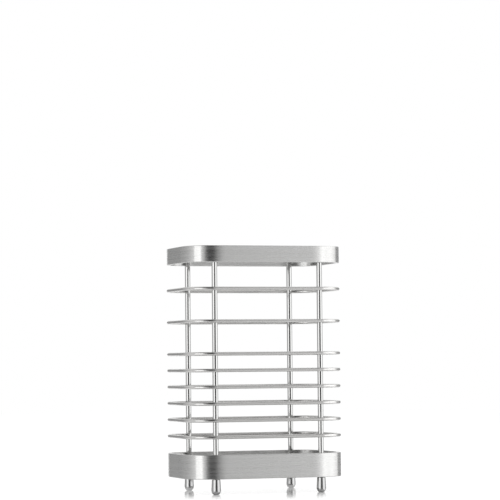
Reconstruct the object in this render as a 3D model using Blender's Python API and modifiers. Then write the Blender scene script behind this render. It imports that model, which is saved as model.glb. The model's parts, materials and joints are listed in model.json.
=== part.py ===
"""Wire cutlery drainer: two flat bands and eight wire rings welded round four rods, on four turned feet.

Units are metres and +Z is up. The origin lies on the floor under the middle of the drainer. The long sides
run along X. The front faces -Y. Each piece is one object, and the sizes below drive all of them.
"""

import math

import bmesh
import bpy

# Outline of the drainer, over the faces of its bands
LENGTH = 0.120
DEPTH = 0.078
CORNER_RADIUS = 0.020

# Flat strip of the bands
BAND_THICKNESS = 0.0025
TOP_BAND_HEIGHT = 0.012
BOTTOM_BAND_HEIGHT = 0.0175
BAND_EDGE_ROUNDING = 0.0005

# Wire rings, counted from the bottom: a close group, then a wide group
RING_WIRE_DIAMETER = 0.0025
LOWEST_RING_RISE = 0.0125
CLOSE_RING_PITCH = 0.012
CLOSE_RING_COUNT = 6
WIDE_RING_PITCH = 0.0235
WIDE_RING_COUNT = 2
HIGHEST_RING_DROP = 0.019

# Upright rods
ROD_DIAMETER = 0.004
ROD_TOP_INSET = 0.0015
ROD_END_CHAMFER = 0.0004

# Turned feet, each a cap over the lower end of a rod
FOOT_HEIGHT = 0.011
FOOT_SOLE_THICKNESS = 0.0045
FOOT_WALL = 0.0008
FOOT_FLARE = 0.00035
FOOT_NOSE_HEIGHT = 0.0034
FOOT_TIP_RADIUS = 0.0013
FOOT_RIM_CHAMFER = 0.0002

# Pressed drain plate with a turned-down skirt
PLATE_THICKNESS = 0.001
PLATE_SKIRT_HEIGHT = 0.004
PLATE_LIFT = 0.001
PLATE_BEND_RADIUS = 0.0008
DRAIN_HOLE_DIAMETER = 0.0055
DRAIN_HOLE_PITCH = 0.010
DRAIN_HOLE_WEB = 0.0025

# Clearances
WELD_GAP = 0.0003
PLATE_CLEARANCE = 0.0003
ROD_CLEARANCE = 0.0003
CUT_OVERRUN = 0.001
MERGE_DISTANCE = 0.000003

# Fineness of the round shapes
CORNER_STEPS = 7
WIRE_RESOLUTION = 2
ROD_SIDES = 16
FOOT_STEPS = 16
NOSE_STEPS = 6
DRAIN_HOLE_SIDES = 10
EDGE_SEGMENTS = 2
SHARP_ANGLE = math.radians(35)
BEVEL_ANGLE = math.radians(60)

# Heights worked out from the sizes above
band_bottom = FOOT_HEIGHT
bottom_band_top = band_bottom + BOTTOM_BAND_HEIGHT
lowest_ring = bottom_band_top + LOWEST_RING_RISE
highest_close_ring = lowest_ring + (CLOSE_RING_COUNT - 1) * CLOSE_RING_PITCH
highest_ring = highest_close_ring + WIDE_RING_COUNT * WIDE_RING_PITCH
top_band_bottom = highest_ring + HIGHEST_RING_DROP
top = top_band_bottom + TOP_BAND_HEIGHT

# The inner face of the bands, which the rods stand against
inner_half_length = LENGTH / 2 - BAND_THICKNESS
inner_half_depth = DEPTH / 2 - BAND_THICKNESS
inner_radius = CORNER_RADIUS - BAND_THICKNESS

# Rod places: where the long sides meet the corner bends
rod_x = LENGTH / 2 - CORNER_RADIUS
rod_y = inner_half_depth - WELD_GAP - ROD_DIAMETER / 2
RODS = (
    ("front_left", -rod_x, -rod_y),
    ("front_right", rod_x, -rod_y),
    ("rear_left", -rod_x, rod_y),
    ("rear_right", rod_x, rod_y),
)

BRUSHED = ((0.60, 0.60, 0.58), 0.34)
SATIN = ((0.64, 0.64, 0.63), 0.27)
POLISHED = ((0.72, 0.72, 0.73), 0.08)


def clear_scene():
    for obj in list(bpy.data.objects):
        bpy.data.objects.remove(obj, do_unlink=True)


def new_collection(name):
    collection = bpy.data.collections.new(name)
    bpy.context.scene.collection.children.link(collection)
    return collection


def metal(name, look):
    """A steel whose colour and roughness are the two values of look."""
    colour, roughness = look
    material = bpy.data.materials.new(name)
    material.use_nodes = True
    shader = material.node_tree.nodes["Principled BSDF"]
    shader.inputs["Base Color"].default_value = (*colour, 1)
    shader.inputs["Metallic"].default_value = 1
    shader.inputs["Roughness"].default_value = roughness
    return material


def place(obj, collection, look):
    """Puts obj in collection alone, with a material of its own."""
    for old in list(obj.users_collection):
        old.objects.unlink(obj)
    collection.objects.link(obj)
    obj.data.materials.clear()
    obj.data.materials.append(metal(obj.name + "_steel", look))
    return obj


def smooth(obj):
    obj.data.shade_smooth()
    obj.data.set_sharp_from_angle(angle=SHARP_ANGLE)


def rounded_outline(half_x, half_y, radius):
    """The points of a rounded rectangle about the origin, anticlockwise from the +X side."""
    points = []
    for quarter in range(4):
        start = quarter * math.pi / 2
        side_x = 1 if quarter in (0, 3) else -1
        side_y = 1 if quarter in (0, 1) else -1
        centre_x = side_x * (half_x - radius)
        centre_y = side_y * (half_y - radius)
        for step in range(CORNER_STEPS + 1):
            angle = start + step / CORNER_STEPS * math.pi / 2
            points.append((centre_x + radius * math.cos(angle), centre_y + radius * math.sin(angle)))
    return points


def add_outline(curve, points):
    """Adds a closed run of straight lines through the points to the curve."""
    spline = curve.splines.new("POLY")
    spline.points.add(len(points) - 1)
    for target, (x, y) in zip(spline.points, points):
        target.co = (x, y, 0, 1)
    spline.use_cyclic_u = True


def mesh_from_curve(name, curve, height):
    """A mesh object made from a curve that lies at the given height, with its loose caps welded."""
    guide = bpy.data.objects.new(name + "_outline", curve)
    bpy.context.scene.collection.objects.link(guide)
    guide.location.z = height
    bpy.context.view_layer.update()
    graph = bpy.context.evaluated_depsgraph_get()
    mesh = bpy.data.meshes.new_from_object(guide.evaluated_get(graph))
    mesh.name = name
    work = bmesh.new()
    work.from_mesh(mesh)
    bmesh.ops.remove_doubles(work, verts=work.verts, dist=MERGE_DISTANCE)
    work.to_mesh(mesh)
    work.free()
    obj = bpy.data.objects.new(name, mesh)
    obj.matrix_world = guide.matrix_world.copy()
    bpy.context.scene.collection.objects.link(obj)
    bpy.data.objects.remove(guide, do_unlink=True)
    return obj


def add_modifier(obj, kind, **settings):
    modifier = obj.modifiers.new(kind.title(), kind)
    for key, value in settings.items():
        setattr(modifier, key, value)
    return modifier


def add_bevel(obj, width):
    return add_modifier(
        obj, "BEVEL", width=width, segments=EDGE_SEGMENTS, limit_method="ANGLE", angle_limit=BEVEL_ANGLE
    )


def cut(obj, cutter):
    add_modifier(obj, "BOOLEAN", operation="DIFFERENCE", solver="EXACT", object=cutter)


def hide_cutter(cutter, cutters):
    for old in list(cutter.users_collection):
        old.objects.unlink(cutter)
    cutters.objects.link(cutter)
    cutter.hide_render = True
    cutter.display_type = "WIRE"


def make_band(parts, name, bottom, height):
    """A flat strip on edge, bent to the drainer's outline, with its long edges eased."""
    curve = bpy.data.curves.new(name, "CURVE")
    curve.dimensions = "2D"
    curve.fill_mode = "BOTH"
    curve.extrude = height / 2
    add_outline(curve, rounded_outline(LENGTH / 2, DEPTH / 2, CORNER_RADIUS))
    add_outline(curve, rounded_outline(inner_half_length, inner_half_depth, inner_radius))
    band = mesh_from_curve(name, curve, bottom + height / 2)
    add_bevel(band, BAND_EDGE_ROUNDING)
    smooth(band)
    place(band, parts, BRUSHED)


def make_ring(parts, name, height):
    """A closed loop of round wire that lies against the outside of the rods."""
    radius = RING_WIRE_DIAMETER / 2
    curve = bpy.data.curves.new(name, "CURVE")
    curve.dimensions = "3D"
    curve.bevel_depth = radius
    curve.bevel_resolution = WIRE_RESOLUTION
    curve.use_fill_caps = True
    centre_line = rounded_outline(inner_half_length + radius, inner_half_depth + radius, inner_radius + radius)
    add_outline(curve, centre_line)
    ring = bpy.data.objects.new(name, curve)
    ring.location.z = height
    place(ring, parts, SATIN)


def make_rings(parts):
    """All the rings from the highest, ring_1, down."""
    heights = [highest_ring - step * WIDE_RING_PITCH for step in range(WIDE_RING_COUNT)]
    heights += [highest_close_ring - step * CLOSE_RING_PITCH for step in range(CLOSE_RING_COUNT)]
    for number, height in enumerate(heights, start=1):
        make_ring(parts, f"ring_{number}", height)


def make_rod(parts, corner, x, y):
    """A straight rod from inside its foot to just under the upper edge of the top band."""
    low = FOOT_SOLE_THICKNESS + ROD_CLEARANCE
    high = top - ROD_TOP_INSET
    bpy.ops.mesh.primitive_cylinder_add(
        vertices=ROD_SIDES, radius=ROD_DIAMETER / 2, depth=high - low, location=(x, y, (low + high) / 2)
    )
    rod = bpy.context.object
    rod.name = "rod_" + corner
    add_bevel(rod, ROD_END_CHAMFER)
    smooth(rod)
    place(rod, parts, POLISHED)


def foot_profile():
    """The turned outline of a foot, from the bore's floor up, over the rim and down the outside to the tip."""
    bore = ROD_DIAMETER / 2 + ROD_CLEARANCE
    rim = bore + FOOT_WALL
    widest = rim + FOOT_FLARE
    height = FOOT_HEIGHT - WELD_GAP
    points = [(0, FOOT_SOLE_THICKNESS), (bore, FOOT_SOLE_THICKNESS), (bore, height)]
    points += [(rim - FOOT_RIM_CHAMFER, height), (rim, height - FOOT_RIM_CHAMFER)]
    for step in range(NOSE_STEPS + 1):
        angle = step / NOSE_STEPS * math.pi / 2
        radius = FOOT_TIP_RADIUS + (widest - FOOT_TIP_RADIUS) * math.cos(angle)
        points.append((radius, FOOT_NOSE_HEIGHT * (1 - math.sin(angle))))
    points.append((0, 0))
    return points


def make_foot(parts, corner, x, y):
    """A turned bullet-shaped cap with a blind bore for the rod's end."""
    mesh = bpy.data.meshes.new("foot_" + corner)
    work = bmesh.new()
    previous = None
    for radius, height in foot_profile():
        vertex = work.verts.new((radius, 0, height))
        if previous:
            work.edges.new((previous, vertex))
        previous = vertex
    work.to_mesh(mesh)
    work.free()
    foot = bpy.data.objects.new(mesh.name, mesh)
    foot.location = (x, y, 0)
    add_modifier(
        foot,
        "SCREW",
        axis="Z",
        steps=FOOT_STEPS,
        render_steps=FOOT_STEPS,
        use_merge_vertices=True,
        merge_threshold=MERGE_DISTANCE,
        use_smooth_shade=True,
    )
    place(foot, parts, POLISHED)


def inside_plate(x, y, margin):
    """True if the point x, y lies at least the margin inside the plate's skirt."""
    half_x = inner_half_length - PLATE_CLEARANCE - PLATE_THICKNESS - margin
    half_y = inner_half_depth - PLATE_CLEARANCE - PLATE_THICKNESS - margin
    radius = max(inner_radius - PLATE_CLEARANCE - PLATE_THICKNESS - margin, 0)
    past_x = max(abs(x) - (half_x - radius), 0)
    past_y = max(abs(y) - (half_y - radius), 0)
    return math.hypot(past_x, past_y) <= radius and abs(x) <= half_x and abs(y) <= half_y


def drain_hole_centres():
    """Centres of a staggered grid of holes that stay clear of the skirt and of the rod notches."""
    margin = DRAIN_HOLE_DIAMETER / 2 + DRAIN_HOLE_WEB
    from_rod = margin + ROD_DIAMETER / 2 + ROD_CLEARANCE
    row_pitch = DRAIN_HOLE_PITCH * math.sqrt(3) / 2
    rows = int(DEPTH / row_pitch)
    columns = int(LENGTH / DRAIN_HOLE_PITCH)
    centres = []
    for row in range(-rows, rows + 1):
        shift = DRAIN_HOLE_PITCH / 2 if row % 2 else 0
        for column in range(-columns, columns + 1):
            x = column * DRAIN_HOLE_PITCH + shift
            y = row * row_pitch
            nearest_rod = math.hypot(abs(x) - rod_x, abs(y) - rod_y)
            if inside_plate(x, y, margin) and nearest_rod >= from_rod:
                centres.append((x, y))
    return centres


def make_hole_cutter(cutters, low, high):
    """One mesh of upright cylinders, one for each drain hole."""
    mesh = bpy.data.meshes.new("drain_hole_cutter")
    work = bmesh.new()
    for x, y in drain_hole_centres():
        made = bmesh.ops.create_cone(
            work,
            cap_ends=True,
            segments=DRAIN_HOLE_SIDES,
            radius1=DRAIN_HOLE_DIAMETER / 2,
            radius2=DRAIN_HOLE_DIAMETER / 2,
            depth=high - low,
        )
        bmesh.ops.translate(work, verts=made["verts"], vec=(x, y, (low + high) / 2))
    work.to_mesh(mesh)
    work.free()
    cutter = bpy.data.objects.new(mesh.name, mesh)
    bpy.context.scene.collection.objects.link(cutter)
    hide_cutter(cutter, cutters)
    return cutter


def make_notch_cutter(cutters, corner, x, y, low, high):
    """A slot that is open to the plate's edge and lets the rod past."""
    half_width = ROD_DIAMETER / 2 + ROD_CLEARANCE
    outward = math.copysign(1, y)
    reach = inner_half_depth + CUT_OVERRUN
    curve = bpy.data.curves.new("notch_cutter_" + corner, "CURVE")
    curve.dimensions = "2D"
    curve.fill_mode = "BOTH"
    curve.extrude = (high - low) / 2
    points = [(x - outward * half_width, outward * reach)]
    for step in range(ROD_SIDES // 2 + 1):
        angle = step / (ROD_SIDES // 2) * math.pi
        points.append((x - outward * half_width * math.cos(angle), y - outward * half_width * math.sin(angle)))
    points.append((x + outward * half_width, outward * reach))
    add_outline(curve, points)
    cutter = mesh_from_curve(curve.name, curve, (low + high) / 2)
    hide_cutter(cutter, cutters)
    return cutter


def make_drain_plate(parts, cutters):
    """A pressed sheet: a flat perforated floor whose edge is turned down along the band's inner face."""
    low = band_bottom + PLATE_LIFT
    high = low + PLATE_SKIRT_HEIGHT
    half_x = inner_half_length - PLATE_CLEARANCE
    half_y = inner_half_depth - PLATE_CLEARANCE
    curve = bpy.data.curves.new("drain_plate", "CURVE")
    curve.dimensions = "2D"
    curve.fill_mode = "FRONT"
    add_outline(curve, rounded_outline(half_x, half_y, inner_radius - PLATE_CLEARANCE))
    plate = mesh_from_curve("drain_plate", curve, high)
    work = bmesh.new()
    work.from_mesh(plate.data)
    seams = [edge for edge in work.edges if not edge.is_boundary]
    bmesh.ops.dissolve_edges(work, edges=seams)
    edges = [edge for edge in work.edges if edge.is_boundary]
    skirt = bmesh.ops.extrude_edge_only(work, edges=edges)["geom"]
    drop = [item for item in skirt if isinstance(item, bmesh.types.BMVert)]
    bmesh.ops.translate(work, verts=drop, vec=(0, 0, -PLATE_SKIRT_HEIGHT))
    bmesh.ops.recalc_face_normals(work, faces=work.faces)
    work.to_mesh(plate.data)
    work.free()
    add_bevel(plate, PLATE_THICKNESS + PLATE_BEND_RADIUS)
    add_modifier(plate, "SOLIDIFY", thickness=PLATE_THICKNESS, offset=-1, use_even_offset=True)
    cut_low = low - CUT_OVERRUN
    cut_high = high + CUT_OVERRUN
    cut(plate, make_hole_cutter(cutters, cut_low, cut_high))
    for corner, x, y in RODS:
        cut(plate, make_notch_cutter(cutters, corner, x, y, cut_low, cut_high))
    smooth(plate)
    place(plate, parts, SATIN)


def main():
    clear_scene()
    parts = new_collection("cutlery_drainer")
    cutters = new_collection("cutters")
    make_band(parts, "top_band", top_band_bottom, TOP_BAND_HEIGHT)
    make_band(parts, "bottom_band", band_bottom, BOTTOM_BAND_HEIGHT)
    make_rings(parts)
    for corner, x, y in RODS:
        make_rod(parts, corner, x, y)
        make_foot(parts, corner, x, y)
    make_drain_plate(parts, cutters)


main()
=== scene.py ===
"""Looks of the wire cutlery drainer: brushed bands, satin rings, polished rods and feet, in a white studio.

Units are metres and +Z is up. The front faces -Y and the left is -X. Each visible piece is modelled here, at
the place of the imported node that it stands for. Its sizes are read from that node's box where the box gives
them.
"""

import json
import logging
import math
from dataclasses import dataclass
from enum import Enum
from typing import Any, Callable, Iterator, Mapping, Sequence

import bmesh
import bpy
from mathutils import Matrix, Vector

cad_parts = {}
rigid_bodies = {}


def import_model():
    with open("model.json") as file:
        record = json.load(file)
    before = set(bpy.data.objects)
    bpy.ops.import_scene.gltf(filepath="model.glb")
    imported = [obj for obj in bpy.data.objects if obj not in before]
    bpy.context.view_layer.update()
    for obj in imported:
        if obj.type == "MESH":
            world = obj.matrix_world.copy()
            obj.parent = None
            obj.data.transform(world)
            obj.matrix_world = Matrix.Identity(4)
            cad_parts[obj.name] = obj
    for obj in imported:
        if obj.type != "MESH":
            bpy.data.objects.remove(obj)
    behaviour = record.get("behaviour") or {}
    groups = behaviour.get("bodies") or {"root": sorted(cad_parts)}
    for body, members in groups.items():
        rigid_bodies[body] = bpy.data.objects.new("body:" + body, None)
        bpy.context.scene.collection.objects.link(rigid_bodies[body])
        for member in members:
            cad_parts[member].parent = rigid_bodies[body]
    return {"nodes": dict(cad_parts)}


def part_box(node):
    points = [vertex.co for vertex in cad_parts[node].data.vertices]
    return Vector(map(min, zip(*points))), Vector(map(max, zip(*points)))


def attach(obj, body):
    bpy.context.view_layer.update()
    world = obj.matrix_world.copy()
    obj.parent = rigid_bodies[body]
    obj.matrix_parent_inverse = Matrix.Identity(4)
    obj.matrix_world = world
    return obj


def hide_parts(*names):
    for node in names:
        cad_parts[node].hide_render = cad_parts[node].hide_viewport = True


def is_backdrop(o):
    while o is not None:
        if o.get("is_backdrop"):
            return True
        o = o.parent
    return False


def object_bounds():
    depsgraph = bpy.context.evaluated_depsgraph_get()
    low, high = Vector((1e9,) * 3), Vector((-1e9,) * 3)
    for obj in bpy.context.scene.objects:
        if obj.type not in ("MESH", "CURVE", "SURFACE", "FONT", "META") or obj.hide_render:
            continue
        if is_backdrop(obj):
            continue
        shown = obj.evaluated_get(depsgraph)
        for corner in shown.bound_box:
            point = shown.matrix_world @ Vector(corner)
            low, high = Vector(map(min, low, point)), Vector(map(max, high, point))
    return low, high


LOG = logging.getLogger("drainer")
BODY = "root"
BAND_NODES = ("top_band", "bottom_band")

# Outline that the bands, the rings and the plate share
CORNER_RADIUS = 0.020
BAND_THICKNESS = 0.0025
CORNER_STEPS = 24

# How near two points or directions are taken as the same
PLACE_TOLERANCE = 0.000001
FACING_TOLERANCE = 0.999
MERGE_DISTANCE = 0.000002

# Angles between faces over which their edge is shaded as an edge, and over which it is rounded
SMOOTH_ANGLE = math.radians(32)
ROUNDED_ANGLE = math.radians(60)

# Linear red, green and blue, and the same with alpha
Colour = tuple[float, float, float]
WHITE = (1.0, 1.0, 1.0, 1.0)


class Slot(Enum):
    """The record's material slots."""

    BAND = "brushed_band"
    WIRE = "satin_wire"
    ROD = "polished_rod"
    FOOT = "polished_foot"
    PLATE = "satin_sheet"


class Corner(Enum):
    """The four corners, each with its name in node names and its side along Y."""

    FRONT_LEFT = ("front_left", -1)
    FRONT_RIGHT = ("front_right", -1)
    REAR_LEFT = ("rear_left", 1)
    REAR_RIGHT = ("rear_right", 1)

    def __init__(self, title: str, side_y: int) -> None:
        """Names the two values of a corner."""
        self.title = title
        self.side_y = side_y


class Element(Enum):
    """What a selection in edit mode takes."""

    VERTEX = "VERT"
    EDGE = "EDGE"
    FACE = "FACE"


class Value:
    """A shader socket that adds Math nodes when it is used in arithmetic."""

    def __init__(self, graph: "Graph", socket: bpy.types.NodeSocket) -> None:
        """Wraps an output socket of one of the graph's nodes."""
        self.graph = graph
        self.socket = socket

    def _math(self, operation: str, first: "Number", second: "Number" = 0.0) -> "Value":
        """The result of one Math node."""
        return self.graph.node("ShaderNodeMath", {"operation": operation}, {0: first, 1: second})

    def __add__(self, other: "Number") -> "Value":
        """Sum."""
        return self._math("ADD", self, other)

    def __radd__(self, other: "Number") -> "Value":
        """Sum with a number on the left."""
        return self._math("ADD", other, self)

    def __sub__(self, other: "Number") -> "Value":
        """Difference."""
        return self._math("SUBTRACT", self, other)

    def __rsub__(self, other: "Number") -> "Value":
        """Difference with a number on the left."""
        return self._math("SUBTRACT", other, self)

    def __mul__(self, other: "Number") -> "Value":
        """Product."""
        return self._math("MULTIPLY", self, other)

    def __rmul__(self, other: "Number") -> "Value":
        """Product with a number on the left."""
        return self._math("MULTIPLY", other, self)

    def __abs__(self) -> "Value":
        """Size without its sign."""
        return self._math("ABSOLUTE", self)

    def step(self, low: float, high: float) -> "Value":
        """A smooth rise from 0 at low to 1 at high, or a fall where low is over high."""
        return self.graph.node(
            "ShaderNodeMapRange",
            {"interpolation_type": "SMOOTHSTEP"},
            {"Value": self, "From Min": low, "From Max": high, "To Min": 0.0, "To Max": 1.0},
        )

    def hypotenuse(self, other: "Value") -> "Value":
        """The root of the sum of both squares."""
        return self._math("SQRT", self * self + other * other)

    def bearing(self, across: "Value") -> "Value":
        """The angle whose sine goes with this value and whose cosine goes with across, in radians."""
        return self._math("ARCTAN2", self, across)

    def sibling(self, name: str) -> "Value":
        """Another output of the same node."""
        return Value(self.graph, self.socket.node.outputs[name])


Number = Value | float


class Graph:
    """The nodes of one material or of the world."""

    def __init__(self, tree: bpy.types.NodeTree) -> None:
        """Takes over a node tree and empties it."""
        self.tree = tree
        self.tree.nodes.clear()

    def node(
        self,
        kind: str,
        settings: Mapping[str, Any] | None = None,
        sockets: Mapping[int | str, Any] | None = None,
        output: int | str = 0,
    ) -> Value:
        """Adds a node, sets it up and links it.

        Args:
            kind: The node's type.
            settings: The node's own settings, set before its sockets. "stops" holds a ramp's stops, each with
                its place and its level.
            sockets: The value or link of each input socket.
            output: The output socket that is handed back.

        Returns:
            That output, or the node's first input where it has no output.
        """
        made = self.tree.nodes.new(kind)
        for name, setting in (settings or {}).items():
            if name == "stops":
                self._set_stops(made.color_ramp, setting)
            else:
                setattr(made, name, setting)
        for name, value in (sockets or {}).items():
            if isinstance(value, Value):
                self.tree.links.new(value.socket, made.inputs[name])
            else:
                made.inputs[name].default_value = value
        ends = made.outputs or made.inputs
        return Value(self, ends[output])

    def _set_stops(self, ramp: bpy.types.ColorRamp, stops: Sequence[tuple[float, float]]) -> None:
        """Gives a ramp its grey stops.

        Args:
            ramp: The ramp, with its two stops as new.
            stops: The place and the grey level of each stop, from low to high.
        """
        while len(ramp.elements) < len(stops):
            ramp.elements.new(1.0)
        for element, (place, level) in zip(ramp.elements, stops):
            element.position = place
            element.color = (level, level, level, 1.0)

    def place(self) -> Value:
        """The shaded point in the part's own coordinates."""
        return self.node("ShaderNodeTexCoord", output="Object")

    def axes(self, vector: Value) -> tuple[Value, Value, Value]:
        """The x, y and z of a vector."""
        across = self.node("ShaderNodeSeparateXYZ", {}, {0: vector}, output="X")
        return across, across.sibling("Y"), across.sibling("Z")

    def noise(self, scale: tuple[float, float, float], detail: float) -> Value:
        """Cloudy variation about 0.5, with its grains to the metre along each axis and its finer layers."""
        stretched = self.node("ShaderNodeMapping", {}, {"Vector": self.place(), "Scale": scale})
        return self.node("ShaderNodeTexNoise", {}, {"Vector": stretched, "Scale": 1.0, "Detail": detail})

    def tint(self, amount: Value, dark: Colour, light: Colour) -> Value:
        """The dark colour at an amount of 0, the light one at 1."""
        colours = {0: amount, 6: (*dark, 1.0), 7: (*light, 1.0)}
        return self.node("ShaderNodeMix", {"data_type": "RGBA"}, colours, output=2)

    def bump(self, height: Value, depth: float) -> Value:
        """A normal that is disturbed by a relief, which stands a depth in metres high where it is 1."""
        return self.node("ShaderNodeBump", {}, {"Height": height, "Distance": depth, "Strength": 1.0})


@dataclass(frozen=True)
class SteelFinish:
    """What every steel surface of the drainer has: a colour, a gloss and the lines left by its making.

    Scales are grains to the metre. A contrast holds the noise levels that count as none and as full. A smudge
    covers a share of the lines' tint with its own.
    """

    name: str
    colour: Colour
    roughness: float
    roughness_spread: float
    colour_spread: float
    line_scale: tuple[float, float, float]
    fine_line_scale: tuple[float, float, float]
    line_depth: float
    stretch: float = 0.0
    stretch_turn: float = 0.25
    coarse_share: float = 0.55
    line_contrast: tuple[float, float] = (0.32, 0.68)
    smudge_scale: float = 45.0
    smudge_contrast: tuple[float, float] = (0.42, 0.66)
    smudge_cover: float = 0.12
    smudge_tint: float = 0.06
    smudge_roughness: float = 0.03
    wear_roughness: float = 0.12

    def material(self) -> bpy.types.Material:
        """Makes the finish as a node material.

        Returns:
            The material, ready for a piece.
        """
        made = bpy.data.materials.new(self.name)
        made.use_nodes = True
        graph = Graph(made.node_tree)
        lines = graph.noise(self.line_scale, detail=3.0)
        fine = graph.noise(self.fine_line_scale, detail=2.0)
        clouds = graph.noise((self.smudge_scale,) * 3, detail=3.0)
        grain = (lines * self.coarse_share + fine * (1.0 - self.coarse_share)).step(*self.line_contrast)
        smudges = clouds.step(*self.smudge_contrast)
        wear = self.wear(graph)
        level = grain * (1.0 - self.smudge_cover) + smudges * self.smudge_tint - wear
        dark = self.shaded(1.0 - self.colour_spread)
        light = self.shaded(1.0 + self.colour_spread)
        colour = graph.tint(level, dark, light)
        roughness = (
            (self.roughness - self.roughness_spread)
            + grain * (2.0 * self.roughness_spread)
            + smudges * self.smudge_roughness
            + wear * self.wear_roughness
        )
        shader = graph.node(
            "ShaderNodeBsdfPrincipled",
            {},
            {
                "Base Color": colour,
                "Metallic": 1.0,
                "Roughness": roughness,
                "Anisotropic": self.stretch,
                "Anisotropic Rotation": self.stretch_turn,
                "Normal": graph.bump(grain, self.line_depth),
            },
        )
        graph.node("ShaderNodeOutputMaterial", {}, {"Surface": shader})
        return made

    def shaded(self, share: float) -> Colour:
        """The steel's colour, made lighter or darker by a share of 1."""
        return (self.colour[0] * share, self.colour[1] * share, self.colour[2] * share)

    def wear(self, graph: Graph) -> Number:
        """Dulling at some places, which a plain finish has none of."""
        return 0.0


@dataclass(frozen=True)
class SeamedSteel(SteelFinish):
    """Steel strip or wire that is closed by a butt weld at the middle of the rear side, ground flush.

    The dulling fades in between the two distances of seam_fade from the middle, on what lies past rear_fade.
    """

    seam_fade: tuple[float, float] = (0.0012, 0.0006)
    rear_fade: tuple[float, float] = (0.030, 0.034)
    seam_level: float = 0.35

    def wear(self, graph: Graph) -> Number:
        """The faint dull line of the ground weld."""
        across, along, _height = graph.axes(graph.place())
        return abs(across).step(*self.seam_fade) * along.step(*self.rear_fade) * self.seam_level


@dataclass(frozen=True)
class WeldedSteel(SeamedSteel):
    """Wire that is dulled round the spots where it is welded to the four rods."""

    spot_x: float = 0.040
    spot_y: float = 0.0363
    spot_fade: tuple[float, float] = (0.0036, 0.00162)
    spot_level: float = 0.28

    def wear(self, graph: Graph) -> Number:
        """The dull spots, with the seam.

        Args:
            graph: The material's nodes.

        Returns:
            How dulled the steel is.
        """
        across, along, _height = graph.axes(graph.place())
        away = (abs(across) - self.spot_x).hypotenuse(abs(along) - self.spot_y)
        return super().wear(graph) + away.step(*self.spot_fade) * self.spot_level


BRUSHED_STRIP = SeamedSteel(
    name="brushed_strip_steel",
    colour=(0.604, 0.603, 0.597),
    roughness=0.27,
    roughness_spread=0.05,
    colour_spread=0.07,
    line_scale=(6.0, 6.0, 1100.0),
    fine_line_scale=(24.0, 24.0, 5200.0),
    line_depth=0.000005,
    stretch=0.75,
)
SATIN_WIRE = WeldedSteel(
    name="satin_drawn_wire_steel",
    colour=(0.605, 0.60, 0.592),
    roughness=0.17,
    roughness_spread=0.04,
    colour_spread=0.06,
    line_scale=(30.0, 30.0, 2400.0),
    fine_line_scale=(60.0, 60.0, 7000.0),
    line_depth=0.000004,
)
POLISHED_ROD = SteelFinish(
    name="polished_rod_steel",
    colour=(0.565, 0.565, 0.56),
    roughness=0.075,
    roughness_spread=0.02,
    colour_spread=0.025,
    line_scale=(2600.0, 2600.0, 26.0),
    fine_line_scale=(7000.0, 7000.0, 70.0),
    line_depth=0.0000008,
)
POLISHED_FOOT = SteelFinish(
    name="turned_foot_steel",
    colour=(0.455, 0.455, 0.455),
    roughness=0.095,
    roughness_spread=0.025,
    colour_spread=0.03,
    line_scale=(40.0, 40.0, 3600.0),
    fine_line_scale=(90.0, 90.0, 9000.0),
    line_depth=0.000001,
)
SATIN_SHEET = SteelFinish(
    name="satin_sheet_steel",
    colour=(0.60, 0.595, 0.585),
    roughness=0.31,
    roughness_spread=0.06,
    colour_spread=0.06,
    line_scale=(14.0, 1500.0, 1500.0),
    fine_line_scale=(34.0, 5200.0, 5200.0),
    line_depth=0.000005,
    stretch=0.5,
    stretch_turn=0.0,
)
WELD_BEAD = SteelFinish(
    name="weld_bead_steel",
    colour=(0.52, 0.51, 0.49),
    roughness=0.36,
    roughness_spread=0.08,
    colour_spread=0.12,
    line_scale=(900.0, 900.0, 900.0),
    fine_line_scale=(3200.0, 3200.0, 3200.0),
    line_depth=0.00001,
)


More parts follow.
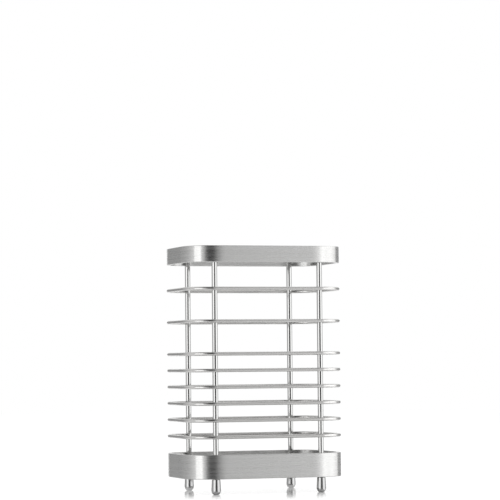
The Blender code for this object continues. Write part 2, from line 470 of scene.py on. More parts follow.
class Workpiece:
    """One mesh that is shaped in edit mode, as by hand."""

    def __init__(self, name: str, add: Callable[..., set[str]], **settings: Any) -> None:
        """Adds a primitive by itself and opens it in edit mode, all selected.

        Args:
            name: What the piece is called.
            add: The operator that adds the primitive.
            settings: The operator's own settings.
        """
        deselect_all()
        add(**settings)
        self.body = bpy.context.object
        self.body.name = name
        self.body.data.name = name
        bpy.ops.object.transform_apply(location=True, rotation=True, scale=True)
        bpy.ops.object.mode_set(mode="EDIT")
        bpy.ops.mesh.select_mode(type=Element.VERTEX.value)
        bpy.ops.mesh.select_all(action="SELECT")

    @classmethod
    def box(cls, name: str, low: Vector, high: Vector) -> "Workpiece":
        """Starts from a box between its lowest and its highest corner."""
        centre = (low + high) / 2
        return cls(name, bpy.ops.mesh.primitive_cube_add, size=1, location=centre, scale=high - low)

    @classmethod
    def circle(
        cls, name: str, centre: Vector, radius: float, sides: int, upright: bool = False
    ) -> "Workpiece":
        """Starts from a circle of edges that faces up, or along X where it is upright."""
        turn = (0, math.pi / 2 if upright else 0, 0)
        return cls(
            name,
            bpy.ops.mesh.primitive_circle_add,
            vertices=sides,
            radius=radius,
            location=centre,
            rotation=turn,
        )

    @classmethod
    def cylinder(
        cls, name: str, axis: Vector, radius: float, low: float, high: float, sides: int
    ) -> "Workpiece":
        """Starts from an upright cylinder about a point on its axis, between two heights."""
        centre = (axis.x, axis.y, (low + high) / 2)
        return cls(
            name,
            bpy.ops.mesh.primitive_cylinder_add,
            vertices=sides,
            radius=radius,
            depth=high - low,
            location=centre,
        )

    @classmethod
    def ball(cls, name: str, centre: Vector, radii: Vector, sides: int) -> "Workpiece":
        """Starts from a ball with its half sizes along X, Y and Z and its sides round the upright axis."""
        return cls(
            name,
            bpy.ops.mesh.primitive_uv_sphere_add,
            segments=sides,
            ring_count=sides // 2,
            radius=1,
            location=centre,
            scale=radii,
        )

    @classmethod
    def turned(
        cls, name: str, axis: Vector, outline: Sequence[tuple[float, float]], sides: int
    ) -> "Workpiece":
        """Starts from a circle that is drawn along an outline about an upright axis, as on a lathe.

        Args:
            name: What the piece is called.
            axis: The point of the axis at height 0.
            outline: The radius and height of each turned edge, in order.
            sides: How many sides the piece has.

        Returns:
            The open shell, in edit mode, with its last edge selected.
        """
        radius, height = outline[0]
        shell = cls.circle(name, axis + Vector((0, 0, height)), radius, sides)
        for next_radius, next_height in outline[1:]:
            shell.extrude(Vector((0, 0, next_height - height)))
            share = next_radius / radius
            shell.resize(Vector((share, share, 1)), axis)
            radius, height = next_radius, next_height
        return shell

    def select(self, kind: Element, test: Callable[[Any], bool]) -> None:
        """Selects the elements that pass a test, and no others.

        Args:
            kind: Vertices, edges or faces.
            test: Says whether an element is wanted.
        """
        bpy.ops.mesh.select_mode(type=kind.value)
        bpy.ops.mesh.select_all(action="DESELECT")
        shape = bmesh.from_edit_mesh(self.body.data)
        shape.normal_update()
        found = {Element.VERTEX: shape.verts, Element.EDGE: shape.edges, Element.FACE: shape.faces}[kind]
        for item in found:
            if test(item):
                item.select_set(True)
        shape.select_flush_mode()
        bmesh.update_edit_mesh(self.body.data)

    def select_upright_edges(self) -> None:
        """Selects the edges that run straight up."""
        self.select(
            Element.EDGE,
            lambda edge: (edge.verts[0].co - edge.verts[1].co).xy.length < PLACE_TOLERANCE,
        )

    def select_level_edges(self, height: float) -> None:
        """Selects the edges that lie at a height."""
        self.select(
            Element.EDGE,
            lambda edge: all(abs(vertex.co.z - height) < PLACE_TOLERANCE for vertex in edge.verts),
        )

    def extrude(self, offset: Vector) -> None:
        """Extrudes the selection by an offset."""
        bpy.ops.mesh.extrude_region_move(TRANSFORM_OT_translate={"value": offset})

    def move(self, offset: Vector) -> None:
        """Moves the selection by an offset."""
        bpy.ops.transform.translate(value=offset)

    def resize(self, factors: Vector, centre: Vector) -> None:
        """Scales the selection by factors along X, Y and Z about a point that stays."""
        bpy.ops.transform.resize(value=factors, center_override=centre)

    def turn(self, centre: Vector, angle: float, steps: int) -> None:
        """Spins the selected section in steps about an upright axis, anticlockwise from above."""
        bpy.ops.mesh.spin(steps=steps, angle=angle, center=centre, axis=(0, 0, -1))

    def bevel(self, width: float, segments: int, profile: float = 0.5) -> None:
        """Rounds the selected edges, in a quarter circle or in a bend that eases into its sides over 0.5."""
        bpy.ops.mesh.bevel(
            offset=width, offset_type="OFFSET", segments=segments, profile=profile, affect="EDGES"
        )

    def round_edges(self, width: float, segments: int) -> None:
        """Rounds every sharp edge."""
        self.select(
            Element.EDGE,
            lambda edge: len(edge.link_faces) == 2 and edge.calc_face_angle() > ROUNDED_ANGLE,
        )
        self.bevel(width, segments)

    def fill(self) -> None:
        """Closes the selected loop of edges with a face."""
        bpy.ops.mesh.edge_face_add()

    def clean(self) -> None:
        """Merges doubled points and points all faces outwards."""
        bpy.ops.mesh.select_all(action="SELECT")
        bpy.ops.mesh.remove_doubles(threshold=MERGE_DISTANCE)
        bpy.ops.mesh.normals_make_consistent(inside=False)

    def close(self) -> bpy.types.Object:
        """Leaves edit mode and hands back the piece's object."""
        bpy.ops.object.mode_set(mode="OBJECT")
        return self.body


def deselect_all() -> None:
    """Leaves nothing selected, so that the next operator acts on its own piece alone."""
    if bpy.context.mode != "OBJECT":
        bpy.ops.object.mode_set(mode="OBJECT")
    bpy.ops.object.select_all(action="DESELECT")


def pick(piece: bpy.types.Object) -> None:
    """Makes a piece the only one that is selected.

    Args:
        piece: The piece.
    """
    deselect_all()
    piece.select_set(True)
    bpy.context.view_layer.objects.active = piece


def copied(piece: bpy.types.Object, name: str, offset: Vector) -> bpy.types.Object:
    """Copies a finished piece to another place, with a mesh of its own.

    Args:
        piece: The piece to copy.
        name: What the copy is called.
        offset: How far the copy stands from the piece.

    Returns:
        The copy, with its place in its mesh.
    """
    pick(piece)
    bpy.ops.object.duplicate(linked=False)
    bpy.ops.transform.translate(value=offset)
    bpy.ops.object.transform_apply(location=True, rotation=False, scale=False)
    copy = bpy.context.object
    copy.name = name
    copy.data.name = name
    return copy


def joined(pieces: Sequence[bpy.types.Object], name: str) -> bpy.types.Object:
    """Joins several pieces into one.

    Args:
        pieces: The pieces, the first of which takes the others in.
        name: What the result is called.

    Returns:
        The joined piece.
    """
    pick(pieces[0])
    for piece in pieces:
        piece.select_set(True)
    bpy.ops.object.join()
    pieces[0].name = name
    pieces[0].data.name = name
    return pieces[0]


def applied(piece: bpy.types.Object, kind: str, settings: Mapping[str, Any]) -> None:
    """Adds a modifier to a piece and applies it.

    Args:
        piece: The piece that is changed.
        kind: The modifier's type.
        settings: The modifier's settings.
    """
    pick(piece)
    modifier = piece.modifiers.new(kind.lower(), kind)
    for name, setting in settings.items():
        setattr(modifier, name, setting)
    bpy.ops.object.modifier_apply(modifier=modifier.name)


def dressed(
    piece: bpy.types.Object, material: bpy.types.Material, slot: Slot, replaced: Sequence[str] = ()
) -> bpy.types.Object:
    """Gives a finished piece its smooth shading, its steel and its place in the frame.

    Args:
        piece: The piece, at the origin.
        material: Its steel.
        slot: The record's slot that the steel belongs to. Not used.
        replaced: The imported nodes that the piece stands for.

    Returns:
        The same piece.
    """
    pick(piece)
    bpy.ops.object.shade_smooth_by_angle(angle=SMOOTH_ANGLE)
    applied(piece, "WEIGHTED_NORMAL", {"keep_sharp": True})
    piece.data.materials.clear()
    piece.data.materials.append(material)
    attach(piece, BODY)
    if replaced:
        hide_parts(*replaced)
    return piece


def rod_axis(corner: Corner) -> Vector:
    """The foot of a corner's rod axis, at height 0."""
    low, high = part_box("rod_" + corner.title)
    return Vector(((low.x + high.x) / 2, (low.y + high.y) / 2, 0))


def set_at_corners(
    first: bpy.types.Object, kind: str, ending: str, material: bpy.types.Material, slot: Slot
) -> list[bpy.types.Object]:
    """Copies the front left corner's piece to the other corners and dresses all four.

    Args:
        first: The front left corner's piece.
        kind: How the names of its nodes begin.
        ending: How the names of the pieces end.
        material: Their steel.
        slot: The record's slot that the steel belongs to.

    Returns:
        The pieces, in the order of the corners.
    """
    pieces = [first]
    for corner in list(Corner)[1:]:
        offset = rod_axis(corner) - rod_axis(Corner.FRONT_LEFT)
        pieces.append(copied(first, f"{kind}_{corner.title}_{ending}", offset))
    for piece, corner in zip(pieces, Corner):
        dressed(piece, material, slot, [f"{kind}_{corner.title}"])
    return pieces


@dataclass
class Band:
    """A flat strip on edge, with bends that ease into its sides, closed at the rear, with eased edges.

    The bend starts further from the corner than a plain radius would, and passes the same point in its
    middle.
    """

    node: str
    thickness: float = BAND_THICKNESS
    bend_reach: float = 0.028
    bend_profile: float = 0.6255
    bend_steps: int = 36
    edge_rounding: float = 0.0005
    edge_steps: int = 4

    def build(self, material: bpy.types.Material) -> bpy.types.Object:
        """Models the band and dresses it.

        Args:
            material: The brushed steel.

        Returns:
            The finished band.
        """
        low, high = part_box(self.node)
        strip = Workpiece.box(self.node + "_strip", low, high)
        strip.select_upright_edges()
        strip.bevel(self.bend_reach, self.bend_steps, self.bend_profile)
        strip.select(Element.FACE, lambda face: abs(face.normal.z) > FACING_TOLERANCE)
        bpy.ops.mesh.inset(thickness=self.thickness, use_even_offset=True)
        bpy.ops.mesh.bridge_edge_loops()
        strip.clean()
        strip.round_edges(self.edge_rounding, self.edge_steps)
        return dressed(strip.close(), material, Slot.BAND, [self.node])


@dataclass
class RingCage:
    """The closed wire rings, which lie flush with the bands and differ only in height."""

    nodes: Sequence[str]
    corner_radius: float = CORNER_RADIUS
    sides: int = 24
    seam_half_width: float = 0.00045
    seam_neck: float = 0.95

    def build(self, material: bpy.types.Material) -> list[bpy.types.Object]:
        """Models one ring, copies it to the other heights and dresses them all.

        Args:
            material: The satin wire steel.

        Returns:
            The rings, in the order of their nodes.
        """
        heights = [self.height(node) for node in self.nodes]
        first = self.model(self.nodes[0])
        rings = [first]
        for node, height in zip(self.nodes[1:], heights[1:]):
            rings.append(copied(first, node + "_wire", Vector((0, 0, height - heights[0]))))
        return [dressed(ring, material, Slot.WIRE, [node]) for ring, node in zip(rings, self.nodes)]

    def height(self, node: str) -> float:
        """The height of a ring's centre line."""
        low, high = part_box(node)
        return (low.z + high.z) / 2

    def model(self, node: str) -> bpy.types.Object:
        """Draws the wire's round section along the four sides and turns it round the four corners.

        Args:
            node: The node that gives the ring's size and height.

        Returns:
            The ring's object.
        """
        low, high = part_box(node)
        wire_radius = (high.z - low.z) / 2
        height = self.height(node)
        run = high.x - self.corner_radius
        reach = high.y - self.corner_radius
        start = Vector((-run, -(high.y - wire_radius), height))
        wire = Workpiece.circle(node + "_wire", start, wire_radius, self.sides, upright=True)
        corners = ((run, -reach), (run, reach), (-run, reach), (-run, -reach))
        headings = (Vector((1, 0, 0)), Vector((0, 1, 0)), Vector((-1, 0, 0)), Vector((0, -1, 0)))
        for corner, heading in zip(corners, headings):
            length = 2 * (run if heading.x else reach)
            if heading.x < 0:
                self.draw_seam(wire, heading, length, Vector((0, high.y - wire_radius, height)))
            else:
                wire.extrude(heading * length)
            wire.turn(Vector((*corner, height)), math.pi / 2, CORNER_STEPS)
        wire.clean()
        return wire.close()

    def draw_seam(self, wire: Workpiece, heading: Vector, length: float, seam: Vector) -> None:
        """Draws the rear side, with the slight neck of its ground butt weld.

        Args:
            wire: The ring so far, with its last section selected.
            heading: The direction that the wire runs in.
            length: The length of the side.
            seam: The middle of the weld.
        """
        wire.extrude(heading * (length / 2 - self.seam_half_width))
        for scale in (self.seam_neck, 1 / self.seam_neck):
            wire.extrude(heading * self.seam_half_width)
            wire.resize(Vector((1, scale, scale)), seam)
        wire.extrude(heading * (length / 2 - self.seam_half_width))


@dataclass
class Rods:
    """The four upright rods, with dressed ends whose faces stay slightly crowned."""

    sides: int = 48
    end_rounding: float = 0.0004
    end_steps: int = 3
    face_inset: float = 0.0003
    face_rise: float = 0.00004

    def build(self, material: bpy.types.Material) -> list[bpy.types.Object]:
        """The finished rods, of the polished rod steel, in the order of the corners."""
        return set_at_corners(self.model(), "rod", "bar", material, Slot.ROD)

    def model(self) -> bpy.types.Object:
        """Turns the front left rod from a cylinder.

        Returns:
            The rod's object.
        """
        node = "rod_" + Corner.FRONT_LEFT.title
        low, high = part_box(node)
        axis = rod_axis(Corner.FRONT_LEFT)
        radius = (high.x - low.x) / 2
        bottom = low.z + self.face_rise
        top = high.z - self.face_rise
        rod = Workpiece.cylinder(node + "_bar", axis, radius, bottom, top, self.sides)
        for end, outwards in ((top, 1), (bottom, -1)):
            rod.select_level_edges(end)
            rod.bevel(self.end_rounding, self.end_steps)
            rod.select(
                Element.FACE,
                lambda face, side=outwards: face.normal.z * side > FACING_TOLERANCE and len(face.verts) > 4,
            )
            bpy.ops.mesh.inset(thickness=self.face_inset)
            rod.move(Vector((0, 0, outwards * self.face_rise)))
        return rod.close()


@dataclass
class Feet:
    """The four turned feet: bullet-shaped caps over the lower ends of the rods."""

    sides: int = 48
    sole_thickness: float = 0.0045
    bore_radius: float = 0.0023
    wall: float = 0.0008
    flare: float = 0.00035
    nose_height: float = 0.0034
    tip_radius: float = 0.0013
    rim_rounding: float = 0.0002
    rim_middle: float = 0.00006
    nose_steps: int = 14

    def build(self, material: bpy.types.Material) -> list[bpy.types.Object]:
        """The finished feet, of the turned foot steel, in the order of the corners."""
        return set_at_corners(self.model(), "foot", "cap", material, Slot.FOOT)

    def outline(self, top: float) -> Iterator[tuple[float, float]]:
        """The turned outline, from the bore's floor over the rim to the tip.

        Args:
            top: The height of the rim.

        Yields:
            The radius and height of each turned edge.
        """
        rim = self.bore_radius + self.wall
        widest = rim + self.flare
        yield self.bore_radius, self.sole_thickness
        yield self.bore_radius, top - self.rim_rounding
        yield self.bore_radius + self.rim_rounding, top
        yield rim - self.rim_rounding, top
        yield rim - self.rim_middle, top - self.rim_middle
        yield rim, top - self.rim_rounding
        for step in range(self.nose_steps + 1):
            angle = step / self.nose_steps * math.pi / 2
            radius = self.tip_radius + (widest - self.tip_radius) * math.cos(angle)
            yield radius, self.nose_height * (1 - math.sin(angle))

    def model(self) -> bpy.types.Object:
        """Turns the front left foot and closes its tip and the floor of its bore.

        Returns:
            The foot's object.
        """
        node = "foot_" + Corner.FRONT_LEFT.title
        outline = list(self.outline(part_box(node)[1].z))
        foot = Workpiece.turned(node + "_cap", rod_axis(Corner.FRONT_LEFT), outline, self.sides)
        foot.fill()
        foot.select(Element.EDGE, lambda edge: edge.is_boundary)
        foot.fill()
        foot.clean()
        return foot.close()


@dataclass
class DrainPlate:
    """A pressed sheet with a turned-down skirt, staggered holes and a notch for each rod."""

    node: str = "drain_plate"
    thickness: float = 0.001
    bend_radius: float = 0.0008
    bend_steps: int = 6
    band_gap: float = 0.0003
    hole_diameter: float = 0.0055
    hole_pitch: float = 0.010
    hole_web: float = 0.0025
    hole_sides: int = 32
    notch_radius: float = 0.0023
    notch_length: float = 0.0069
    edge_rounding: float = 0.00012
    edge_steps: int = 2
    overrun: float = 0.001

    def build(self, material: bpy.types.Material) -> bpy.types.Object:
        """Models the plate and dresses it.

        Args:
            material: The satin sheet steel.

        Returns:
            The finished plate.
        """
        low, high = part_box(self.node)
        pan = Workpiece.box(self.node + "_pan", low, high)
        pan.select_upright_edges()
        pan.bevel(self.corner_radius(), CORNER_STEPS)
        pan.select(Element.FACE, lambda face: face.normal.z < -FACING_TOLERANCE)
        bpy.ops.mesh.delete(type="FACE")
        pan.select_level_edges(high.z)
        pan.bevel(self.bend_radius + self.thickness, self.bend_steps)
        plate = pan.close()
        applied(plate, "SOLIDIFY", {"thickness": self.thickness, "offset": -1.0, "use_even_offset": True})
        for cutter in [self.hole_cutter(), *(self.notch_cutter(corner) for corner in Corner)]:
            applied(plate, "BOOLEAN", {"operation": "DIFFERENCE", "solver": "EXACT", "object": cutter})
            bpy.data.objects.remove(cutter)
        rounding = {"width": self.edge_rounding, "segments": self.edge_steps}
        applied(plate, "BEVEL", {**rounding, "limit_method": "ANGLE", "angle_limit": ROUNDED_ANGLE})
        return dressed(plate, material, Slot.PLATE, [self.node])

    def corner_radius(self) -> float:
        """The outer radius of the skirt's corners, which keeps the gap to the band all round."""
        return CORNER_RADIUS - BAND_THICKNESS - self.band_gap

    def hole_centres(self) -> Iterator[Vector]:
        """A staggered grid of places that keep clear of the skirt and the notches.

        Yields:
            The centre of each hole, at height 0.
        """
        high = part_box(self.node)[1]
        rods = [rod_axis(corner) for corner in Corner]
        margin = self.hole_diameter / 2 + self.hole_web
        radius = max(self.corner_radius() - self.thickness - margin, 0)
        straight_x = high.x - self.thickness - margin - radius
        straight_y = high.y - self.thickness - margin - radius
        row_pitch = self.hole_pitch * math.sqrt(3) / 2
        rows = int(high.y / row_pitch)
        columns = int(high.x / self.hole_pitch)
        for row in range(-rows, rows + 1):
            for column in range(-columns, columns + 1):
                x = column * self.hole_pitch + (self.hole_pitch / 2 if row % 2 else 0)
                y = row * row_pitch
                into_bend = math.hypot(max(abs(x) - straight_x, 0), max(abs(y) - straight_y, 0))
                from_rod = min(math.hypot(x - rod.x, y - rod.y) for rod in rods)
                if into_bend <= radius and from_rod >= margin + self.notch_radius:
                    yield Vector((x, y, 0))

    def punch(self, name: str, axis: Vector, radius: float) -> Workpiece:
        """An upright cylinder about a point on its axis that reaches past both faces of the plate."""
        low, high = (point.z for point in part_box(self.node))
        return Workpiece.cylinder(
            name, axis, radius, low - self.overrun, high + self.overrun, self.hole_sides
        )

    def hole_cutter(self) -> bpy.types.Object:
        """One cylinder for each hole, modelled once and copied.

        Returns:
            The joined cylinders.
        """
        start, *others = self.hole_centres()
        first = self.punch("hole_cutter", start, self.hole_diameter / 2).close()
        copies = [copied(first, "hole_cutter_copy", centre - start) for centre in others]
        return joined([first, *copies], "hole_cutter")

    def notch_cutter(self, corner: Corner) -> bpy.types.Object:
        """A cylinder whose outer half is drawn out past the plate's edge.

        Args:
            corner: The rod's corner.

        Returns:
            The cutter.
        """
        axis = rod_axis(corner)
        side = corner.side_y
        cutter = self.punch("notch_cutter_" + corner.title, axis, self.notch_radius)
        cutter.select(Element.VERTEX, lambda vertex: (vertex.co.y - axis.y) * side > PLACE_TOLERANCE)
        cutter.move(Vector((0, side * self.notch_length, 0)))
        return cutter.close()


@dataclass
class Welds:
    """The small beads that join the rods to the rings, the bands, the feet and the plate.

    A bead is given by its half sizes along X, Y and Z, as it lies on a long side. A collar spreads over the
    foot's rim, bites into the rod and rises along it, with a throat on the way.
    """

    ring_nodes: Sequence[str]
    sides: int = 20
    ring_bead: tuple[float, float, float] = (0.0015, 0.00055, 0.00105)
    band_bead: tuple[float, float, float] = (0.0012, 0.00042, 0.0021)
    band_bead_places: tuple[float, float] = (0.3, 0.7)
    band_seed: int = 20
    tack_bead: tuple[float, float, float] = (0.0017, 0.0006, 0.0009)
    tack_height: float = 0.00036
    tack_gap: float = 0.00015
    tack_reach: float = 0.022
    tack_seed: int = 40
    end_tack_seed: int = 43
    roughening: float = 0.00005
    smoothing: float = 0.4
    collar_sides: int = 48
    collar_rise: float = 0.0004
    collar_spread: float = 0.0006
    collar_bite: float = 0.0001
    collar_edge: float = 0.00005
    collar_throat: tuple[float, float] = (0.0002, 0.00022)

    def build(self, material: bpy.types.Material) -> list[bpy.types.Object]:
        """Models the beads of each rod and of the plate and dresses them.

        Args:
            material: The weld bead steel.

        Returns:
            One joined piece for each rod, and one for the plate.
        """
        made = [self.rod_welds(corner) for corner in Corner]
        made.append(self.plate_tacks())
        return [dressed(piece, material, Slot.WIRE) for piece in made]

    def bead(self, centre: Vector, radii: Sequence[float], seed: int) -> bpy.types.Object:
        """A squeezed drop of metal with an uneven skin.

        Args:
            centre: Its middle.
            radii: Its half sizes along X, Y and Z.
            seed: Picks the unevenness.

        Returns:
            The bead.
        """
        drop = Workpiece.ball("bead", centre, Vector(radii), self.sides)
        bpy.ops.transform.vertex_random(offset=self.roughening, uniform=0.0, normal=1.0, seed=seed)
        bpy.ops.mesh.vertices_smooth(factor=self.smoothing, repeat=1)
        return drop.close()

    def rod_welds(self, corner: Corner) -> bpy.types.Object:
        """All the beads along one rod.

        Args:
            corner: The rod's corner.

        Returns:
            The joined beads.
        """
        axis = rod_axis(corner)
        rod_low, rod_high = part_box("rod_" + corner.title)
        rod_face = rod_low.y if corner.side_y < 0 else rod_high.y
        band_face = corner.side_y * (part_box(BAND_NODES[0])[1].y - BAND_THICKNESS)
        seam_y = (rod_face + band_face) / 2
        pieces = []
        for seed, node in enumerate(self.ring_nodes, start=1):
            low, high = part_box(node)
            centre = Vector((axis.x, seam_y, (low.z + high.z) / 2))
            pieces.append(self.bead(centre, self.ring_bead, seed))
        for seed, node in enumerate(BAND_NODES, start=self.band_seed):
            low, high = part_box(node)
            for place in self.band_bead_places:
                height = low.z + (min(high.z, rod_high.z) - low.z) * place
                pieces.append(self.bead(Vector((axis.x, seam_y, height)), self.band_bead, seed))
        pieces.append(self.foot_collar(corner, axis))
        return joined(pieces, "welds_" + corner.title)

    def foot_collar(self, corner: Corner, axis: Vector) -> bpy.types.Object:
        """The fillet that closes the gap between a rod and the rim of its foot.

        Args:
            corner: The foot's corner.
            axis: The rod's axis.

        Returns:
            The fillet.
        """
        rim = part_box("foot_" + corner.title)[1].z
        low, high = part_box("rod_" + corner.title)
        rod_radius = (high.x - low.x) / 2
        wide = rod_radius + self.collar_spread
        narrow = rod_radius - self.collar_bite
        throat_width, throat_rise = self.collar_throat
        start = (narrow, rim - self.collar_rise)
        outline = (
            start,
            (wide, rim - self.collar_rise),
            (wide, rim + self.collar_edge),
            (rod_radius + throat_width, rim + throat_rise),
            (rod_radius + self.collar_edge, rim + self.collar_rise),
            (narrow, rim + self.collar_rise),
            start,
        )
        collar = Workpiece.turned("collar", axis, outline, self.collar_sides)
        collar.clean()
        return collar.close()

    def plate_tacks(self) -> bpy.types.Object:
        """The tacks between the plate's skirt and the bottom band.

        Returns:
            The joined tacks.
        """
        low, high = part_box("drain_plate")
        height = low.z + self.tack_height
        long_x, long_y, long_z = self.tack_bead
        pieces = []
        for seed, x in enumerate((-self.tack_reach, self.tack_reach), start=self.tack_seed):
            for side in (-1, 1):
                centre = Vector((x, side * (high.y + self.tack_gap), height))
                pieces.append(self.bead(centre, self.tack_bead, seed))
        for side in (-1, 1):
            centre = Vector((side * (high.x + self.tack_gap), 0, height))
            pieces.append(self.bead(centre, (long_y, long_x, long_z), self.end_tack_seed))
        return joined(pieces, "welds_plate")


@dataclass
class PhotoCamera:
    """The camera of the photograph, solved from the drainer's own edges in it."""

    picture_side: float = 500.0
    focal_pixels: float = 2425.92
    sensor_width: float = 36.0
    yaw: float = math.radians(17.8816)
    pitch: float = math.radians(2.7129)
    roll: float = math.radians(-0.5261)
    distance: float = 1.79087
    sideways: float = 0.0017546
    height: float = 0.0927371
    nearest: float = 0.05
    furthest: float = 60.0

    def build(self) -> None:
        """Creates the camera and makes it the scene's."""
        data = bpy.data.cameras.new("photo_camera")
        data.sensor_width = self.sensor_width
        data.lens = self.focal_pixels / self.picture_side * self.sensor_width
        data.clip_start = self.nearest
        data.clip_end = self.furthest
        camera = bpy.data.objects.new("photo_camera", data)
        bpy.context.scene.collection.objects.link(camera)
        level = Vector((math.sin(self.yaw), math.cos(self.yaw), 0))
        ahead = level * math.cos(self.pitch) + Vector((0, 0, math.sin(self.pitch)))
        right = Vector((math.cos(self.yaw), -math.sin(self.yaw), 0))
        above = right.cross(ahead)
        rolled_right = right * math.cos(self.roll) + above * math.sin(self.roll)
        rolled_above = above * math.cos(self.roll) - right * math.sin(self.roll)
        place = Vector((0, 0, self.height)) - level * self.distance - right * self.sideways
        turn = Matrix((rolled_right, rolled_above, -ahead)).transposed()
        camera.matrix_world = Matrix.Translation(place) @ turn.to_4x4()
        bpy.context.scene.camera = camera


@dataclass
class Softbox:
    """A lamp with a diffusing front. Its bearing is in degrees, left of the front being positive."""

    name: str
    bearing: float
    distance: float = 2.3
    width: float = 1.35
    height: float = 2.3
    centre_height: float = 1.05
    radiance: float = 1.0

    def build(self) -> None:
        """Creates the lamp, facing the drainer."""
        data = bpy.data.lights.new(self.name, "AREA")
        data.shape = "RECTANGLE"
        data.size = self.width
        data.size_y = self.height
        data.energy = self.radiance * math.pi * self.width * self.height
        lamp = bpy.data.objects.new(self.name, data)
        bpy.context.scene.collection.objects.link(lamp)
        angle = math.radians(self.bearing)
        outwards = Vector((-math.sin(angle), -math.cos(angle), 0))
        lamp.location = outwards * self.distance + Vector((0, 0, self.centre_height))
        lamp.rotation_euler = outwards.to_track_quat("Z", "Y").to_euler()
        lamp.visible_camera = False


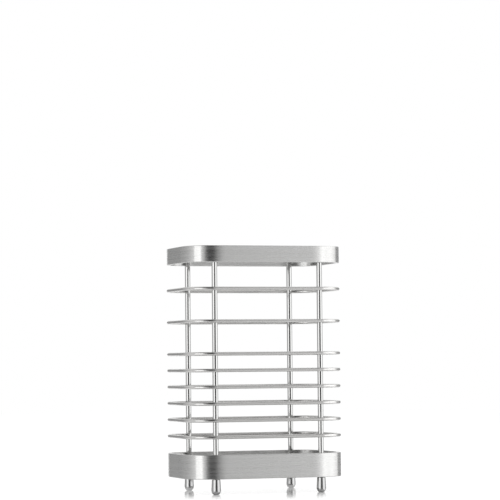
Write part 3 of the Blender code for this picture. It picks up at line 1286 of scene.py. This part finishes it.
@dataclass
class Studio:
    """A white studio: grey walls for what metal mirrors, plain light for the rest, and a glossy white floor.

    A level is a bearing in degrees, left of the front being positive, and the brightness there. The walls
    give way to the ceiling between two heights of the direction. Near the horizon, the dark gap between the
    lights is wider, which draws the dark line on the rods.
    """

    wall_levels: Sequence[tuple[float, float]] = (
        (-180.0, 1.1), (-150.0, 1.1), (-138.0, 0.35), (-114.0, 0.45), (-94.0, 0.40), (-78.0, 0.55),
        (-62.0, 0.88), (-40.0, 0.82), (-31.0, 1.20), (-23.0, 1.22), (-19.0, 0.81), (-13.0, 0.50),
        (-3.0, 0.02), (12.0, 0.03), (20.0, 0.27), (32.0, 1.12), (40.0, 1.25), (60.0, 0.90),
        (88.0, 1.0), (106.0, 0.72), (130.0, 0.55), (156.0, 0.46), (172.0, 0.27), (180.0, 1.1),
    )
    ceiling_levels: Sequence[tuple[float, float]] = (
        (-180.0, 0.70), (-130.0, 1.0), (-90.0, 1.45), (-45.0, 0.70), (-18.0, 0.40), (0.0, 0.10),
        (74.0, 0.15), (100.0, 0.95), (130.0, 1.05), (160.0, 0.85), (180.0, 0.70),
    )
    ceiling_fade: tuple[float, float] = (0.10, 0.64)
    low_gap: tuple[float, float] = (5.0, 43.0)
    low_gap_edge: float = 5.0
    low_gap_fade: tuple[float, float] = (0.034, 0.027)
    diffuse_level: float = 0.85
    lamps: Sequence[Softbox] = (
        Softbox("left_softbox", bearing=60.0, width=1.5, radiance=0.92),
        Softbox("right_softbox", bearing=-62.0, width=3.0, radiance=0.88),
    )
    floor_radius: float = 3.0
    floor_rim: float = 0.2
    floor_sides: int = 96
    floor_colour: Colour = (0.82, 0.82, 0.82)
    floor_roughness: float = 0.11
    floor_gloss: float = 1.45
    floor_mirror: float = 0.92
    mirror_fade: tuple[float, float] = (0.03, 0.13)
    polish_fade: tuple[float, float] = (0.13, 0.045)
    floor_lift: float = 0.30
    lift_in_mirror: float = 0.9
    # Glow of the floor that only metal sees: painted reflection, past the polished part and under the rear
    # feet
    metal_reflection_glow: float = 0.26
    rear_reflection_glow: float = 0.55
    rear_fade: tuple[float, float] = (-0.02, 0.02)

    def build(self) -> None:
        """Creates the world, the floor and the lamps."""
        self.build_world()
        self.build_floor()
        for lamp in self.lamps:
            lamp.build()

    def build_world(self) -> None:
        """Creates the world: white for the camera, studio walls for metal, plain light for the rest."""
        world = bpy.data.worlds.new("white_studio")
        world.use_nodes = True
        bpy.context.scene.world = world
        graph = Graph(world.node_tree)
        direction = graph.node("ShaderNodeTexCoord", output="Generated")
        across, along, rise = graph.axes(direction)
        turn = (0.0 - across).bearing(0.0 - along) * (0.5 / math.pi) + 0.5
        walls = self.round_about(turn, self.wall_levels) * (1.0 - self.low_gap_mask(turn, rise))
        ceiling = self.round_about(turn, self.ceiling_levels)
        overhead = rise.step(*self.ceiling_fade)
        studio = walls * (1.0 - overhead) + ceiling * overhead
        camera = graph.node("ShaderNodeLightPath", output="Is Camera Ray")
        through = camera.sibling("Is Transmission Ray")
        glossy = camera.sibling("Is Glossy Ray")
        seen = camera + through - camera * through
        level = seen + (1.0 - seen) * (glossy * studio + (1.0 - glossy) * self.diffuse_level)
        background = graph.node("ShaderNodeBackground", {}, {"Color": level, "Strength": 1.0})
        graph.node("ShaderNodeOutputWorld", {}, {"Surface": background})

    def round_about(self, turn: Value, levels: Sequence[tuple[float, float]]) -> Value:
        """Brightness that changes with the bearing, which turn gives as a share of the whole turn."""
        stops = [(self.turn_at(bearing), level) for bearing, level in levels]
        return turn.graph.node("ShaderNodeValToRGB", {"stops": stops}, {0: turn})

    def low_gap_mask(self, turn: Value, rise: Value) -> Value:
        """Where the dark gap between the lights is wider: at the height of the rods.

        Args:
            turn: The bearing, from 0 at the rear over 0.5 at the front to 1 at the rear.
            rise: The height of the direction, from -1 to 1.

        Returns:
            1 inside the gap, 0 outside.
        """
        low, high = self.low_gap
        edge = self.low_gap_edge
        past_low = turn.step(self.turn_at(low - edge), self.turn_at(low + edge))
        before_high = turn.step(self.turn_at(high + edge), self.turn_at(high - edge))
        return past_low * before_high * abs(rise).step(*self.low_gap_fade)

    def turn_at(self, bearing: float) -> float:
        """A bearing in degrees as a share of the whole turn, from 0 at the rear to 1 at the rear."""
        return bearing / 360.0 + 0.5

    def build_floor(self) -> None:
        """Creates the floor, a wide disc with a rim."""
        disc = Workpiece.circle("studio_floor", Vector((0, 0, 0)), self.floor_radius, self.floor_sides)
        disc.fill()
        bpy.ops.mesh.inset(thickness=self.floor_rim)
        disc.clean()
        floor = disc.close()
        floor.data.materials.append(self.floor_material())
        floor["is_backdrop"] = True

    def floor_material(self) -> bpy.types.Material:
        """White board, polished near the drainer, that keeps shadows and mirrors what stands on it.

        The camera sees it lifted to plain white, less so where it mirrors. Metal sees it as a mirror at
        grazing angles and as white board at steep ones. For metal alone the board also glows past the
        polished
        part and, more, under the rear feet: a painted reflection that lightens the floor as the metal mirrors
        it.

        Returns:
            The material.
        """
        made = bpy.data.materials.new("white_floor_board")
        made.use_nodes = True
        graph = Graph(made.node_tree)
        matt = graph.node("ShaderNodeBsdfDiffuse", {}, {"Color": (*self.floor_colour, 1.0)})
        mirror = graph.node(
            "ShaderNodeBsdfAnisotropic", {}, {"Color": WHITE, "Roughness": self.floor_roughness}
        )
        sheen = graph.node("ShaderNodeFresnel", {}, {"IOR": self.floor_gloss})
        seen = graph.node("ShaderNodeLightPath", output="Is Camera Ray")
        in_metal = seen.sibling("Is Glossy Ray")
        across, along, _height = graph.axes(graph.place())
        polish = across.hypotenuse(along).step(*self.polish_fade)
        steep = 1.0 - sheen.step(*self.mirror_fade)
        grazing = (1.0 - steep) * self.floor_mirror
        share = sheen * polish + in_metal * (grazing - sheen * polish)
        board = graph.node("ShaderNodeMixShader", {}, {0: share, 1: matt, 2: mirror})
        shown = seen * (1.0 - share * self.lift_in_mirror) * self.floor_lift
        rear_feet_glow = along.step(*self.rear_fade) * self.rear_reflection_glow
        # Painted reflection: emission that glossy rays alone see, so metal mirrors a brighter floor than the
        # lamps light, most under the rear feet
        glow = shown + in_metal * steep * ((1.0 - polish) * self.metal_reflection_glow + polish * rear_feet_glow)
        lift = graph.node("ShaderNodeEmission", {}, {"Color": glow, "Strength": 1.0})
        both = graph.node("ShaderNodeAddShader", {}, {0: board, 1: lift})
        graph.node("ShaderNodeOutputMaterial", {}, {"Surface": both})
        return made


def clear_scene() -> None:
    """Removes the objects that Blender starts with."""
    for leftover in list(bpy.data.objects):
        bpy.data.objects.remove(leftover)


def write_sizes(cad_box: tuple[Vector, Vector]) -> None:
    """Logs the CAD model's box and the dressed model's box.

    Args:
        cad_box: The lowest and highest corner of the CAD model.
    """
    visual_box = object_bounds()
    boxes = {
        "cad": [list(corner) for corner in cad_box],
        "visual": [list(corner) for corner in visual_box],
    }
    LOG.info("CAD box %s, visual box %s", boxes["cad"], boxes["visual"])


def main() -> None:
    """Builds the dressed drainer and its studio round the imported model."""
    logging.basicConfig(level=logging.INFO, format="%(name)s: %(message)s")
    clear_scene()
    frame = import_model()
    cad_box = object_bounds()
    rings = [name for name in sorted(frame["nodes"]) if name.startswith("ring_")]
    PhotoCamera().build()
    strip_steel = BRUSHED_STRIP.material()
    pieces = [Band(node).build(strip_steel) for node in BAND_NODES]
    pieces += RingCage(rings).build(SATIN_WIRE.material())
    pieces += Rods().build(POLISHED_ROD.material())
    pieces += Feet().build(POLISHED_FOOT.material())
    pieces.append(DrainPlate().build(SATIN_SHEET.material()))
    pieces += Welds(rings).build(WELD_BEAD.material())
    for piece in pieces:
        LOG.info("%s: %d faces of %s", piece.name, len(piece.data.polygons), piece.active_material.name)
    Studio().build()
    bpy.context.scene.view_settings.view_transform = "Standard"
    write_sizes(cad_box)


if __name__ == "__main__":
    main()
